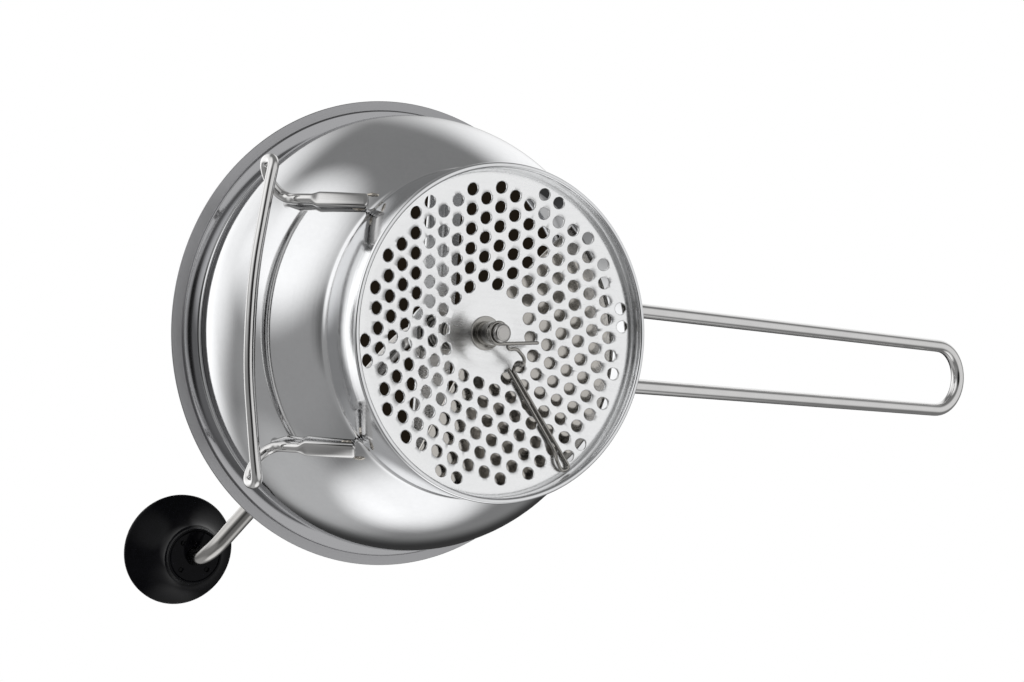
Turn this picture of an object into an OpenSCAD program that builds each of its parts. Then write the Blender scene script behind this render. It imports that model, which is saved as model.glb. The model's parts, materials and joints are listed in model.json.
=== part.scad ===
// Rotary food mill: a bowl with a perforated disc in its neck, and a crank that
// turns a sprung blade over the disc and a wire scraper under it.
// Millimetres. +Z up, origin on the bowl's axis in the plane of the neck's lip,
// +X towards the handle.

/* [Bowl] */
// Outer radius of the flange
rim_r = 120; // [117:0.5:123]
// Height of the flange's underside above the lip
rim_z = 108.3; // [106:0.5:111]
// Outer radius of the neck
neck_r = 76.8; // [75.8:0.1:78]
// Greatest outer radius of the flank
bulge_r = 110; // [108.5:0.5:111.5]
// Radius of the arc that the flank follows
flank_arc = 80; // [78:1:82]
// Thickness of the bowl's sheet
sheet = 0.9; // [0.7:0.1:1.1]
// Radius of the rolled lip's section
lip_roll = 1.3; // [1.2:0.1:1.4]

/* [Disc] */
// Thickness of the disc's sheet
disc_t = 0.8; // [0.6:0.1:1.0]
// Rise of the disc's cone per millimetre towards the centre
disc_slope = 0.257; // [0.24:0.001:0.27]
// Distance between neighbouring holes
hole_pitch = 8.76; // [8.4:0.02:9.4]
// Diameter of the holes
hole_d = 5.7; // [3:0.1:5.8]
// Angle of the pattern of holes round the axis
hole_turn = -11; // [-30:1:30]

/* [Handle and support] */
// Diameter of the handle's wire
handle_d = 7.4; // [6.6:0.1:7.6]
// Distance between the centres of the handle's two rods
handle_gap = 38.2; // [34:0.2:44]
// Distance from the axis to the handle's tip
handle_reach = 341.5; // [300:0.5:380]
// Height of the handle's wire
handle_z = 26.2; // [25.5:0.1:26.6]
// Diameter of the front support's wire
support_d = 5; // [4.6:0.1:5.4]

/* [Crank] */
// Diameter of the crank rod
rod_d = 9; // [8.6:0.1:9.4]
// Direction of the crank round the axis, from the handle
crank_turn = 122; // [100:1:150]
// Rise of the crank's arm above level, in degrees
arm_rise = 22; // [20:0.5:25]
// Distance from the axis to the knob's axis
crank_reach = 146; // [140:1:150]
// Greatest diameter of the knob
knob_d = 59; // [52:1:62]
// Height of the knob's bottom face
knob_z = 171; // [170:0.5:174]
// Height of the knob's shell
knob_h = 27; // [26:0.5:29]

/* [Blade and scraper] */
// Thickness of the blade's sheet
blade_t = 1.5; // [1.2:0.1:1.8]
// Height that the blade's leading edge rises above its level part
blade_rise = 12; // [8:1:13]
// How far the blade can lift against its spring
blade_lift = 3; // [2:0.5:3.5]
// Diameter of the scraper's wire
wiper_d = 1.7; // [1.5:0.1:1.8]
// Direction of the scraper's wiping arm round the axis
wiper_turn = 58.7; // [55:0.1:62]

/* [Hidden] */
steel = [0.78, 0.79, 0.80];
satin = [0.68, 0.69, 0.70];
black = [0.03, 0.03, 0.035];
rod_r = rod_d / 2;
run_gap = 0.06;      // radial clearance of every bearing on the rod
weld = 0.3;          // depth that a welded piece sinks into its neighbour
eps = 1;             // how far a cutting solid runs past what it cuts
lap = 3;             // how far a bent stretch of rod runs into a straight one
skin = 0.03;         // how much thinner it is there

// ---- curves and sweeps -------------------------------------------------------

// Points on an arc in the plane, from one of its steps to its end
function arc(c, r, a0, a1, n, from = 0) =
    [for (i = [from:n]) c + r * [cos(a0 + (a1 - a0) * i / n), sin(a0 + (a1 - a0) * i / n)]];
function backwards(p) = [for (i = [len(p) - 1:-1:0]) p[i]];
function unit(v) = v / norm(v);
function mixed(a, b, t) = a + (b - a) * t;
function smooth(t) = let (c = max(0, min(1, t))) c * c * (3 - 2 * c);

// Rounds the corners of a chain of points [x, y, z, radius]: each corner becomes a
// quadratic curve that starts that far before it and ends as far after
function place(p) = [p[0], p[1], p[2]];
function corner(a, b, c, n) =
    let (p = place(b), s = p + b[3] * unit(place(a) - p), e = p + b[3] * unit(place(c) - p))
    [for (i = [0:n]) mixed(mixed(s, p, i / n), mixed(p, e, i / n), i / n)];
function rounded(pts, n) = [
    for (i = [0:len(pts) - 1])
        each (pts[i][3] == 0 ? [place(pts[i])] : corner(pts[i - 1], pts[i], pts[i + 1], n))];

// A wire swept along a route. It has one radius across and one along a direction
// given for each point, so that a round wire can run out into a flattened end
function heading(p, i) = unit(p[min(i + 1, len(p) - 1)] - p[max(i - 1, 0)]);
module wire(route, across, along, ups, sides = 12) {
    n = len(route);
    rings = [for (i = [0:n - 1])
        let (t = heading(route, i), s = unit(cross(t, ups[i])), u = cross(s, t))
        for (k = [0:sides - 1])
            route[i] + across[i] * cos(360 * k / sides) * s + along[i] * sin(360 * k / sides) * u];
    walls = [for (i = [0:n - 2], k = [0:sides - 1])
        let (a = i * sides + k, b = i * sides + (k + 1) % sides)
        each [[a, b, a + sides], [b, b + sides, a + sides]]];
    first = [[for (k = [sides - 1:-1:0]) k]];
    last = [[for (k = [0:sides - 1]) (n - 1) * sides + k]];
    polyhedron(rings, concat(walls, first, last), convexity = 8);
}
module round_wire(route, r, sides) {
    same = [for (p = route) r];
    wire(route, same, same, [for (p = route) [0, 0, 1]], sides);
}

// A tube or washer
module ring(r_out, r_in, z, h) {
    translate([0, 0, z]) difference() {
        cylinder(r = r_out, h = h, $fn = 96);
        translate([0, 0, -eps]) cylinder(r = r_in, h = h + 2 * eps, $fn = 96);
    }
}

// ---- bowl --------------------------------------------------------------------

// The wall's section: fillet, flank and shoulder, set inwards by a distance
fillet = 4;
shoulder = 16;
shoulder_a = 41;
flank_c = [bulge_r - flank_arc, rim_z - 14];
shoulder_c = [bulge_r - shoulder, flank_c[1]];
fillet_c = [neck_r + fillet,
    flank_c[1] - sqrt(pow(flank_arc + fillet, 2) - pow(neck_r + fillet - flank_c[0], 2))];
crease_a = atan2(fillet_c[1] - flank_c[1], fillet_c[0] - flank_c[0]);
function wall(d) = concat(
    arc(fillet_c, fillet + d, 180, 180 + crease_a, 6),
    arc(flank_c, flank_arc - d, crease_a, 0, 18, 1),
    arc(shoulder_c, shoulder - d, 0, shoulder_a, 6, 1));

// The flange's section, set inwards and upwards by a distance
step_r = 114.5;      // radius where the flange steps up
step_h = 1.6;        // height of that step
corner_r = shoulder_c[0] + shoulder * cos(shoulder_a);
function flange(d) = [
    [corner_r + 0.5 - d, rim_z - step_h - 1.2],
    [corner_r + 1.7 - d, rim_z - step_h + d],
    [step_r - d, rim_z - step_h + d],
    [step_r + 0.6 - d, rim_z + d]];
rim_edge = [[rim_r - 0.4, rim_z], [rim_r, rim_z + 0.4], [rim_r, rim_z + sheet - 0.3],
    [rim_r - 0.3, rim_z + sheet]];

// The rolled lip, with a flat land where it stands
lip_land = 20;       // half the angle that the land takes from the roll
lip_c = [neck_r - lip_roll, lip_roll * cos(lip_land)];
lip_top = lip_c[1] + lip_roll;
lip = concat(arc(lip_c, lip_roll, acos(1 - sheet / lip_roll), 270 - lip_land, 9),
    arc(lip_c, lip_roll, 270 + lip_land, 360, 4));

module bowl() {
    color(steel) rotate_extrude($fn = 180) polygon(concat(lip, wall(0), flange(0), rim_edge,
        backwards(flange(sheet)), backwards(wall(sheet))));
}

// Everything inside a surface set inwards from the wall, for fitting pieces to it
module bowl_core(d) {
    low = 10;
    rotate_extrude($fn = 180)
        polygon(concat([[0, low], [neck_r - d, low]], wall(d), [[0, rim_z - 4]]));
}

// ---- handle and front support ------------------------------------------------

// A loop of wire whose ends turn apart and hug the neck under the flank
module handle_loop() {
    r = handle_d / 2;
    y = handle_gap / 2;
    tip_x = handle_reach - r - y;
    hug_r = neck_r + r - weld;
    knee = 12;
    knee_c = [sqrt(pow(hug_r + knee, 2) - pow(y + knee, 2)), y + knee];
    hug_a = atan2(knee_c[1], knee_c[0]);
    side = concat(
        arc([0, 0], hug_r, hug_a + 24, hug_a, 8),
        arc(knee_c, knee, 180 + hug_a, 270, 8, 1));
    tip = arc([tip_x, 0], y, 90, -90, 20);
    route = concat(side, tip, [for (p = backwards(side)) [p[0], -p[1]]]);
    color(steel) round_wire([for (p = route) [p[0], p[1], handle_z]], r, 20);
}

// A point a little off the flank, on the side away from the handle
function on_flank(y, z, off) =
    let (around = flank_c[0] + sqrt(pow(flank_arc + off, 2) - pow(z - flank_c[1], 2)))
    [-sqrt(around * around - y * y), y, z];

leg_y = 55.5;        // distance of the flattened legs from the middle
leg_thin = 1.7;      // half the flattened legs' thickness
leg_wide = 3.7;      // half their width
leg_low = 31.5;      // height where they start
leg_high = 50.1;     // height where they become round
leg_lift = 1.3;      // how far they have come off the wall there
bar_z = 50;          // height of the bar between the support's two turns
support_turn = -1.5; // how far the support sits from the handle's opposite side
module front_support() {
    r = support_d / 2;
    lift = leg_thin - weld;
    steps = 6;
    foot = [for (i = [0:steps])
        on_flank(leg_y, mixed(leg_low, leg_high, i / steps), lift + leg_lift * i / steps)];
    half = rounded([
        [each on_flank(leg_y, leg_high + 2, lift + leg_lift), 0],
        [-86, 56, 58.5, 4],
        [-93, 61, 61.5, 6],
        [-97, 72.4, 61, 5],
        [-96, 72.4, bar_z, 5],
        [-98, 61, bar_z, 6],
        [-103.2, 22, bar_z, 14],
        [-103.5, 0, bar_z, 0]], 5);
    side = concat(foot, half);
    route = concat(side, [for (i = [len(side) - 2:-1:0]) [side[i][0], -side[i][1], side[i][2]]]);
    n = len(route);
    flat = [for (i = [0:n - 1]) max(0, min(1, (steps + 2 - min(i, n - 1 - i)) / 2))];
    outward = [for (p = route) [p[0], p[1], -0.9 * norm([p[0], p[1]])]];
    color(steel) rotate([0, 0, support_turn]) wire(route,
        [for (f = flat) mixed(r, leg_wide, f)], [for (f = flat) mixed(r, leg_thin, f)], outward);
}

// ---- disc --------------------------------------------------------------------

disc_r = neck_r - sheet - 0.7;
disc_z = 6.7;        // underside of the disc at the outer end of its cone
cone_out = 70.5;
cone_in = 13;
hub_z = disc_z + (cone_out - cone_in) * disc_slope;
function disc_under(r) = disc_z + (cone_out - min(max(r, cone_in), cone_out)) * disc_slope;
eyelet_r = 6.5;
hole_in = 20;        // no hole's centre lies nearer the axis than this
hole_out = 69.3;     // or further out than this
rows = ceil(hole_out / hole_pitch * 2 / sqrt(3));
holes = [for (i = [-rows:rows], k = [-rows:rows])
    let (p = hole_pitch * [i * sqrt(3) / 2, k + (i % 2 == 0 ? 0 : 0.5)])
    if (norm(p) > hole_in && norm(p) < hole_out) p];

module perforated_disc() {
    color(satin) difference() {
        rotate_extrude($fn = 180) polygon([
            [eyelet_r, hub_z], [cone_in, hub_z], [cone_out, disc_z], [disc_r - disc_t, disc_z],
            [disc_r - disc_t, lip_top + 0.05], [disc_r, lip_top + 0.05], [disc_r, disc_z + disc_t],
            [cone_out, disc_z + disc_t], [cone_in, hub_z + disc_t], [eyelet_r, hub_z + disc_t]]);
        rotate([0, 0, hole_turn]) for (p = holes)
            translate([p[0], p[1], disc_z - eps])
                cylinder(d = hole_d, h = hub_z - disc_z + disc_t + 2 * eps, $fn = 32);
    }
}

eyelet_lip = 0.8;
eyelet_out = 8;
module disc_eyelet() {
    bore = rod_r + run_gap;
    top = hub_z + disc_t;
    color(steel) rotate_extrude($fn = 96) polygon([
        [bore, hub_z - eyelet_lip], [eyelet_out, hub_z - eyelet_lip], [eyelet_out, hub_z],
        [eyelet_r, hub_z], [eyelet_r, top], [eyelet_out, top],
        [eyelet_out, top + eyelet_lip], [bore, top + eyelet_lip]]);
}

// ---- bridge ------------------------------------------------------------------

bridge_z = 68;
bridge_t = 2.5;
bridge_w = 18;
tab_w = 12.4;        // width of the bar's ends, which go into the lugs
tab_y = 93;          // where the bar narrows
bridge_end = 101.5;
bush_r = 8;
boss_r = 15;
module bridge_bar() {
    color(steel) difference() {
        translate([0, 0, bridge_z]) union() {
            translate([-bridge_w / 2, -tab_y, 0]) cube([bridge_w, 2 * tab_y, bridge_t]);
            translate([-tab_w / 2, -bridge_end, 0]) cube([tab_w, 2 * bridge_end, bridge_t]);
            cylinder(r = boss_r, h = bridge_t, $fn = 96);
        }
        translate([0, 0, bridge_z - eps]) cylinder(r = bush_r, h = bridge_t + 2 * eps, $fn = 96);
    }
}

// A bracket that one end of the bar goes into, welded to the wall. The second one
// is open to one side, so that the bar swings in and out
lug_w = 24;
lug_rim = 3.6;       // metal under and over the slot, with its play
lug_y = 96.5;
slot_play = 0.3;
bowl_reach = 20;     // the brackets are cut from blocks that reach past the wall
module lug(open) {
    slot_w = tab_w + 2 * slot_play;
    depth = bridge_end - lug_y + slot_play;
    intersection() {
        bowl_core(sheet - weld);
        difference() {
            translate([-lug_w / 2, lug_y, bridge_z - lug_rim])
                cube([lug_w, bowl_reach, bridge_t + 2 * lug_rim]);
            translate([-slot_w / 2, lug_y - eps, bridge_z - slot_play])
                cube([slot_w + (open ? lug_w : 0), depth + eps, bridge_t + 2 * slot_play]);
        }
    }
}
module bridge_lug_left() {
    color(steel) mirror([0, 1, 0]) lug(false);
}
module bridge_lug_right() {
    color(steel) lug(true);
}

bush_low = bridge_z - 3.6;
bush_top = bridge_z + bridge_t + 2;
flange_r = 11;
module bridge_bush() {
    bore = rod_r + run_gap;
    color(satin) rotate_extrude($fn = 96) polygon([
        [bore, bush_low], [bush_r, bush_low], [bush_r, bridge_z + bridge_t],
        [flange_r, bridge_z + bridge_t], [flange_r, bush_top - 0.4], [flange_r - 0.4, bush_top],
        [bore, bush_top]]);
}
module bush_ring() {
    h = 2.4;
    color(steel) ring(flange_r, bush_r, bridge_z - h, h);
}

// ---- crank -------------------------------------------------------------------

rod_end = 5.5;       // height of the rod's lower end
chamfer = 1;
low_bend = 16;
top_bend = 20;
arm_half = (90 - arm_rise) / 2;
arm_z = knob_z - top_bend * tan(arm_half) - crank_reach * tan(arm_rise);
low_z = arm_z - low_bend * tan(arm_half);
stem_top = knob_z + 23;
groove_r = rod_r - 0.55;
wiper_low = 8.4;     // the scraper's groove starts here
wiper_high = 12.1;
stop_z = bush_top + 0.25;
stop_h = 1.2;
clip_z = knob_z + 18.9;
clip_h = 1.2;
pin_z = 34;
pin_r = 1.6;
module groove(z, h) {
    ring(rod_r + eps, groove_r, z, h);
}
module crank_rod() {
    route = concat([[0, low_z - lap]],
        arc([low_bend, low_z], low_bend, 180, 90 + arm_rise, 10),
        arc([crank_reach - top_bend, knob_z], top_bend, arm_rise - 90, 0, 10),
        [[crank_reach, knob_z + lap]]);
    color(satin) rotate([0, 0, crank_turn]) difference() {
        union() {
            translate([0, 0, rod_end]) cylinder(r1 = rod_r - chamfer, r2 = rod_r, h = chamfer, $fn = 96);
            translate([0, 0, rod_end + chamfer])
                cylinder(r = rod_r, h = low_z - rod_end - chamfer, $fn = 96);
            wire([for (p = route) [p[0], 0, p[1]]], [for (p = route) rod_r - skin],
                [for (p = route) rod_r - skin], [for (p = route) [0, 1, 0]], 32);
            translate([crank_reach, 0, knob_z])
                cylinder(r = rod_r, h = stem_top - knob_z - chamfer, $fn = 96);
            translate([crank_reach, 0, stem_top - chamfer])
                cylinder(r1 = rod_r, r2 = rod_r - chamfer, h = chamfer, $fn = 96);
        }
        groove(wiper_low, wiper_high - wiper_low);
        groove(stop_z, stop_h);
        translate([crank_reach, 0, 0]) groove(clip_z, clip_h);
        translate([0, rod_d, pin_z]) rotate([90, 0, 0]) cylinder(r = pin_r, h = 2 * rod_d, $fn = 48);
    }
}
module drive_pin() {
    half = hub_r - 0.8;
    color(steel) rotate([0, 0, crank_turn])
        translate([0, half, pin_z]) rotate([90, 0, 0]) cylinder(r = pin_r, h = 2 * half, $fn = 48);
}
module retaining_ring() {
    color(steel) ring(rod_r + 3.2, groove_r, stop_z + 0.05, stop_h - 0.1);
}

// ---- spring, hub and blade ---------------------------------------------------

hub_low = hub_z + disc_t + eyelet_lip + 0.25;
hub_top = 40.5;
hub_r = 8.8;
washer_t = 1;
washer_r = 9.6;
spring_low = hub_top + washer_t + 0.05;
spring_high = bush_low - 0.3 - washer_t - 0.05;
spring_d = 1.6;
coil_r = 7.4;
module spring_upper_washer() {
    color(steel) ring(washer_r, rod_r + 0.2, spring_high + 0.05, washer_t);
}
module spring_lower_washer() {
    color(steel) ring(washer_r, rod_r + run_gap, hub_top, washer_t);
}

// Six turns, of which one at each end lies closed
turns = 6;
closed_pitch = spring_d + 0.15;
function coil_z(t) =
    let (span = spring_high - spring_low - spring_d, free = (span - 2 * closed_pitch) / (turns - 2))
    spring_low + spring_d / 2 + min(t, 1) * closed_pitch + max(0, min(t, turns - 1) - 1) * free
        + max(0, t - turns + 1) * closed_pitch;
module compression_spring() {
    per_turn = 16;
    route = [for (i = [0:turns * per_turn])
        let (t = i / per_turn) [coil_r * cos(360 * t), coil_r * sin(360 * t), coil_z(t)]];
    color(steel) round_wire(route, spring_d / 2, 8);
}

module rotor_hub() {
    play = 0.3;
    slot_w = 2 * (pin_r + play);
    slot_low = pin_z - pin_r - play - blade_lift;
    color(steel) difference() {
        ring(hub_r, rod_r + run_gap, hub_low, hub_top - hub_low);
        rotate([0, 0, crank_turn]) translate([-slot_w / 2, -hub_r - eps, slot_low])
            cube([slot_w, 2 * hub_r + 2 * eps, pin_z + pin_r + play - slot_low]);
    }
}

// The blade lies on the disc at its trailing edge only, runs level and then sweeps up to
// its leading edge, which reaches the food first as the crank turns clockwise
blade_trail = 124;
blade_span = 175;
blade_ramp = 3.2;    // rise from the trailing edge to the level part
blade_ramp_span = 40;
blade_flat = 50;     // part of the span, in degrees, before the blade sweeps up
blade_gap = 0.4;
blade_out = 72;
function blade_z(r, t) = disc_under(r) + disc_t + blade_gap
    + blade_ramp * smooth(t * blade_span / blade_ramp_span)
    + blade_rise * smooth((t * blade_span - blade_flat) / (blade_span - blade_flat));
module rotor_blade() {
    na = 30;
    radii = [hub_r - 0.4, cone_in, 24, 40, 56, cone_out, blade_out];
    nr = len(radii);
    layer = (na + 1) * nr;
    points = [for (top = [0, 1], i = [0:na], j = [0:nr - 1])
        let (t = i / na, a = blade_trail - t * blade_span)
        [radii[j] * cos(a), radii[j] * sin(a), blade_z(radii[j], t) + top * blade_t]];
    function at(top, i, j) = top * layer + i * nr + j;
    function quad(a, b, c, d) = [[a, b, c], [a, c, d]];
    faces = [
        for (i = [0:na - 1], j = [0:nr - 2]) each concat(
            quad(at(1, i, j), at(1, i + 1, j), at(1, i + 1, j + 1), at(1, i, j + 1)),
            quad(at(0, i, j), at(0, i, j + 1), at(0, i + 1, j + 1), at(0, i + 1, j))),
        for (i = [0:na - 1]) each concat(
            quad(at(0, i, 0), at(0, i + 1, 0), at(1, i + 1, 0), at(1, i, 0)),
            quad(at(0, i, nr - 1), at(1, i, nr - 1), at(1, i + 1, nr - 1), at(0, i + 1, nr - 1))),
        for (j = [0:nr - 2]) each concat(
            quad(at(0, 0, j), at(1, 0, j), at(1, 0, j + 1), at(0, 0, j + 1)),
            quad(at(0, na, j), at(0, na, j + 1), at(1, na, j + 1), at(1, na, j)))];
    color(steel) polyhedron(points, [for (f = faces) backwards(f)], convexity = 6);
}

// ---- scraper -----------------------------------------------------------------

module scraper_sleeve() {
    low = wiper_high + 0.1;
    color(steel) ring(rod_r + 0.95, rod_r + run_gap, low, hub_z - eyelet_lip - 0.15 - low);
}

// One wire: a ring round the rod, a finger tab, two bends, the wiping arm, a small
// loop at its tip and a second strand back. X runs along the arm
module scraper_wire() {
    r = wiper_d / 2;
    ring_r = groove_r + r + 0.1;
    ring_z = wiper_high - r - 0.1;
    drop = 1.85;         // from one turn of the ring to the next
    leave = 31;
    ring_pts = [for (i = [0:26])
        let (a = leave + 468 * (1 - i / 26)) [ring_r * cos(a), ring_r * sin(a), ring_z - drop * i / 26]];
    tab_low = 9;
    tab_high = 11;
    arm_in = disc_under(21) - r - 0.45;
    arm_out = disc_z - r - 0.95;
    rest = rounded([
        [each ring_pts[26], 0],
        [13.4, -16.7, tab_low, 0.9],
        [13.4, -16.7, tab_high, 0.9],
        [6.8, -2.5, tab_high, 1.5],
        [9.5, -1.9, tab_high, 1.5],
        [10.9, -6.1, tab_high, 2],
        [18.2, -8.5, tab_high, 3.5],
        [19.6, -5.6, tab_high, 1.5],
        [18.4, -4.2, mixed(tab_high, arm_in, 0.5), 1.4],
        [21.4, -3.8, arm_in, 1.4],
        [72.4, -3.9, arm_out, 2],
        [72, 0.5, arm_out, 2],
        [67.2, 1, arm_out, 2.5],
        [62, -1.5, mixed(arm_out, arm_in, 0.2), 2.5],
        [19.6, -1.7, arm_in, 0]], 4);
    color(steel) rotate([0, 0, wiper_turn]) round_wire(
        concat([for (i = [0:25]) ring_pts[i]], rest), r, 8);
}

// ---- knob --------------------------------------------------------------------

foot_r = 14.5;       // radius of the knob's bottom face
pocket_r = 9.2;      // pocket over the bearing, for the washer and the clip
pocket_z = knob_z + 17.2;
cap_fit_r = knob_d / 2 - 3.2;
cap_seat = knob_h - 2.2;
function flare(t) = foot_r + (knob_d / 2 - foot_r) * pow(t, 2.3);
module at_knob() {
    rotate([0, 0, crank_turn]) translate([crank_reach, 0, 0]) children();
}
module knob_shell() {
    n = 16;
    gap = 0.15;
    color(black) at_knob() difference() {
        rotate_extrude($fn = 120) polygon(concat(
            [[rod_r + run_gap, knob_z + gap], [foot_r - 0.8, knob_z + gap]],
            [for (i = [1:n]) [flare(i / n), knob_z + 0.4 + (knob_h - 1.2) * i / n]],
            [[knob_d / 2, knob_z + knob_h], [cap_fit_r, knob_z + knob_h], [cap_fit_r, knob_z + cap_seat],
            [pocket_r, knob_z + cap_seat], [pocket_r, pocket_z], [rod_r + run_gap, pocket_z]]));
        for (a = [45:90:315]) rotate([0, 0, a]) translate([9.8, 0, knob_z - eps])
            cylinder(r = 1.1, h = eps + 1.6, $fn = 32);
    }
}
module knob_cap() {
    dome = 4.6;
    n = 10;
    top = knob_z + knob_h;
    color(black) at_knob() rotate_extrude($fn = 120) polygon(concat(
        [[0, knob_z + cap_seat + 0.1], [cap_fit_r - 0.05, knob_z + cap_seat + 0.1],
        [cap_fit_r - 0.05, top + 0.05], [knob_d / 2, top + 0.05]],
        [for (i = [0:n]) [knob_d / 2 * cos(90 * i / n), top + 0.8 + dome * sin(90 * i / n)]]));
}
module knob_washer() {
    color(steel) at_knob() ring(8.6, rod_r + 0.3, pocket_z + 0.05, 1);
}
module knob_clip() {
    color(steel) at_knob() ring(7.6, groove_r, clip_z + 0.05, clip_h - 0.1);
}

bowl();
handle_loop();
front_support();
bridge_lug_left();
bridge_lug_right();
bridge_bar();
bridge_bush();
bush_ring();
perforated_disc();
disc_eyelet();
crank_rod();
drive_pin();
retaining_ring();
spring_upper_washer();
compression_spring();
spring_lower_washer();
rotor_hub();
rotor_blade();
scraper_sleeve();
scraper_wire();
knob_shell();
knob_cap();
knob_washer();
knob_clip();
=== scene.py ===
import json
import math

import bmesh
import bpy
import numpy as np
from mathutils import Matrix, Vector

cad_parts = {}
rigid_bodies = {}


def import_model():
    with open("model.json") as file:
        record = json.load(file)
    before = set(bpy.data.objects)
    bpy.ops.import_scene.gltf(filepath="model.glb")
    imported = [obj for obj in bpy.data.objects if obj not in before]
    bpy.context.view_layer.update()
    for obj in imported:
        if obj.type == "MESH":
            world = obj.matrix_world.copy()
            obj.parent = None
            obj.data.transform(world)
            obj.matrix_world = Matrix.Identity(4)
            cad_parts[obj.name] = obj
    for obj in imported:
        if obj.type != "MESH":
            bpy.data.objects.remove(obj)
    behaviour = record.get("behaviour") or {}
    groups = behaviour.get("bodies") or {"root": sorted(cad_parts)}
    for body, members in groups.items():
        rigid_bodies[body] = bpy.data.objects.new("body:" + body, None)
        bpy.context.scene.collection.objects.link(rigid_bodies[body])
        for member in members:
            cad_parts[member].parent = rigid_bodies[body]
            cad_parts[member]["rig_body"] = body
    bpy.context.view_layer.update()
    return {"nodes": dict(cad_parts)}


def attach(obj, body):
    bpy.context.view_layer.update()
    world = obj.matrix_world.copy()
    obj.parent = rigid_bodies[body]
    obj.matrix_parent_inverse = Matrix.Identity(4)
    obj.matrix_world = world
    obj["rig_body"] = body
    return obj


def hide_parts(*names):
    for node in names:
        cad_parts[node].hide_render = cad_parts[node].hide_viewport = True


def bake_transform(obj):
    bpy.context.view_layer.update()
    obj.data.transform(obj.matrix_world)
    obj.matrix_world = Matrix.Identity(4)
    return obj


MM = 0.001
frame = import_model()
nodes = frame["nodes"]
scene = bpy.context.scene

# ---- sizes in millimetres, the same as in the CAD source -----------------------

RIM_R, RIM_Z, NECK_R, BULGE_R = 120.0, 108.3, 76.8, 110.0
SHEET, LIP_ROLL, LIP_LAND = 0.9, 1.3, 20.0
FLANK_ARC, SHOULDER, SHOULDER_A, FILLET = 80.0, 16.0, 41.0, 4.0
FLANK_C = (BULGE_R - FLANK_ARC, RIM_Z - 14.0)
DISC_Z, DISC_SLOPE, DISC_T, CONE_OUT, CONE_IN = 6.7, 0.257, 0.8, 70.5, 13.0
HUB_Z = DISC_Z + (CONE_OUT - CONE_IN) * DISC_SLOPE
ROD_R, CRANK_TURN, CRANK_REACH, ARM_RISE = 4.5, 122.0, 146.0, 22.0
KNOB_Z, KNOB_R, KNOB_H, FOOT_R = 171.0, 29.5, 27.0, 14.5
BRIDGE_Z, BRIDGE_T = 68.0, 2.5
RUN_GAP = 0.06           # radial clearance of a close running fit on the rod
WELD_SINK = 0.3          # depth that a welded piece sinks into its neighbour
GROOVE_R = ROD_R - 0.55
LIP_TOP = LIP_ROLL * math.cos(math.radians(LIP_LAND)) + LIP_ROLL
STEP_R, STEP_H = 114.5, 1.6
BUSH_R, BUSH_DROP, BUSH_RISE, BUSH_FLANGE_R = 8.0, 3.6, 2.0, 11.0
WIPER_LOW, WIPER_HIGH, WIPER_R, WIPER_TURN, SLEEVE_LOW = 8.4, 12.1, 0.85, 58.7, 12.2
HUB_TOP, WASHER_T, WASHER_R = 40.5, 1.0, 9.6
SPRING_LOW, SPRING_HIGH, SPRING_WIRE, SPRING_COIL_R, SPRING_TURNS = 41.55, 63.05, 1.6, 7.4, 6
PIN_Z, PIN_R, PIN_HALF = 34.0, 1.6, 8.0
STOP_Z, CLIP_Z, RETAINER_T = 72.8, KNOB_Z + 18.95, 1.1


# ---- mesh tools ----------------------------------------------------------------

def arc(centre, radius, start, end, steps, first=0):
    """Points on an arc in the plane, in degrees."""
    return [(centre[0] + radius * math.cos(math.radians(start + (end - start) * i / steps)),
             centre[1] + radius * math.sin(math.radians(start + (end - start) * i / steps)))
            for i in range(first, steps + 1)]


def make(name, verts, faces, material, body, stands_for=(), sharp=40, uvs=None):
    """A mesh object from points in millimetres, riding on a body."""
    mesh = bpy.data.meshes.new(name)
    mesh.from_pydata([[c * MM for c in v] for v in verts], [], faces)
    if uvs is not None:
        layer = mesh.uv_layers.new(name="UVMap")
        layer.data.foreach_set("uv", np.array(uvs, np.float32).ravel())
    mesh.materials.append(material)
    mesh.validate()
    bm = bmesh.new()
    bm.from_mesh(mesh)
    bmesh.ops.recalc_face_normals(bm, faces=bm.faces)
    bm.to_mesh(mesh)
    bm.free()
    obj = bpy.data.objects.new(name, mesh)
    scene.collection.objects.link(obj)
    shade(obj, sharp)
    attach(obj, body)
    if stands_for:
        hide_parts(*stands_for)
    return obj


def shade(obj, sharp):
    """Smooth shading, with an edge kept sharp above an angle in degrees."""
    obj.data.shade_smooth()
    obj.data.set_sharp_from_angle(angle=math.radians(sharp))


def lathe(name, profile, material, body, stands_for=(), steps=256, sharp=40, at=(0, 0)):
    """A closed section [(radius, height)] turned round a vertical axis."""
    verts, rows = [], []
    for r, z in profile:
        if r < 1e-6:
            rows.append([len(verts)] * steps)
            verts.append((at[0], at[1], z))
        else:
            rows.append(list(range(len(verts), len(verts) + steps)))
            verts += [(at[0] + r * math.cos(2 * math.pi * k / steps),
                       at[1] + r * math.sin(2 * math.pi * k / steps), z) for k in range(steps)]
    faces = []
    for i in range(len(profile)):
        a, b = rows[i], rows[(i + 1) % len(profile)]
        if len(set(a)) == 1 and len(set(b)) == 1:
            continue
        for k in range(steps):
            m = (k + 1) % steps
            quad = [a[k], a[m], b[m], b[k]]
            face = [v for j, v in enumerate(quad) if v not in quad[:j]]
            faces.append(face)
    return make(name, verts, faces, material, body, stands_for, sharp)


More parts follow.
